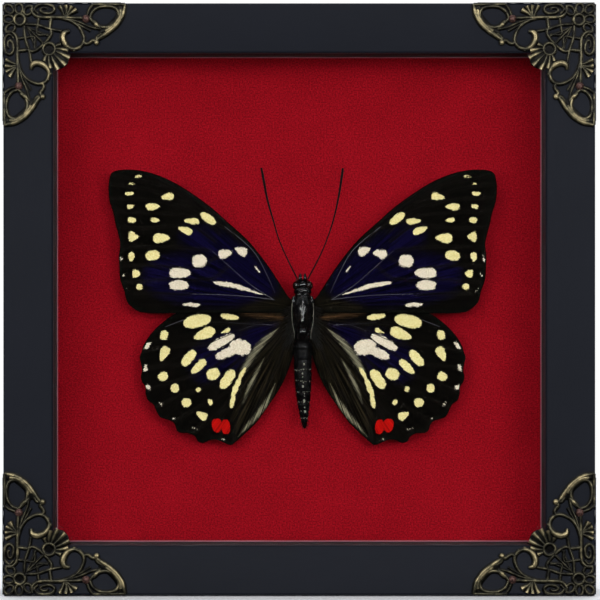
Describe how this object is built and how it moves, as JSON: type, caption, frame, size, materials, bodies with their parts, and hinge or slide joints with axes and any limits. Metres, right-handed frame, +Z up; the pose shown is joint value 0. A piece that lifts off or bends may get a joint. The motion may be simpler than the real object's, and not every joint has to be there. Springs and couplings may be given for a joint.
{
  "type": "framed butterfly specimen",
  "caption": "Square glazed box frame with pierced metal corners, holding a spread butterfly with spotted wings in front of red felt. It stands on its lower edge.",
  "frame": {"origin": "under the middle of the frame, on the surface that it stands on, halfway through its depth", "axes": "+Z up, the glazed front faces -Y, the back faces +Y, +X to the right as seen from the front"},
  "size_m": [0.1504, 0.0306, 0.1505],
  "materials": {
    "painted_wood": "satin blue-black paint",
    "antique_bronze": "antique bronze plate, dark in the hollows and worn on the ridges",
    "pane": "clear polished glass",
    "black_card": "matt black foam strip",
    "red_felt": "short-napped red felt",
    "foam_board": "white paper-faced foam board",
    "fibreboard": "bare brown fibreboard",
    "zinc_steel": "bright zinc-plated steel",
    "plated_brass": "brass-plated steel",
    "pad_foam": "dark foam",
    "insect_body": "glossy black insect shell with short hair",
    "wing": "black-brown wing scales with blue-violet sheen, cream, white and red spots"
  },
  "bodies": {
    "root": {"rail_top": "painted_wood", "rail_bottom": "painted_wood", "rail_left": "painted_wood", "rail_right": "painted_wood", "corner_top_left": "antique_bronze", "corner_top_right": "antique_bronze", "corner_bottom_left": "antique_bronze", "corner_bottom_right": "antique_bronze", "glass_pane": "pane", "spacer_top": "black_card", "spacer_bottom": "black_card", "spacer_left": "black_card", "spacer_right": "black_card", "felt_sheet": "red_felt", "mount_board": "foam_board", "backing_board": "fibreboard", "point_top": "zinc_steel", "point_bottom": "zinc_steel", "point_left": "zinc_steel", "point_right": "zinc_steel", "hanger": "plated_brass", "hanger_nail_left": "zinc_steel", "hanger_nail_right": "zinc_steel", "specimen_pad": "pad_foam", "head": "insect_body", "thorax": "insect_body", "abdomen": "insect_body", "forewing_left": "wing", "forewing_right": "wing", "hindwing_left": "wing", "hindwing_right": "wing", "antenna_left": "insect_body", "antenna_right": "insect_body"}
  },
  "joints": []
}
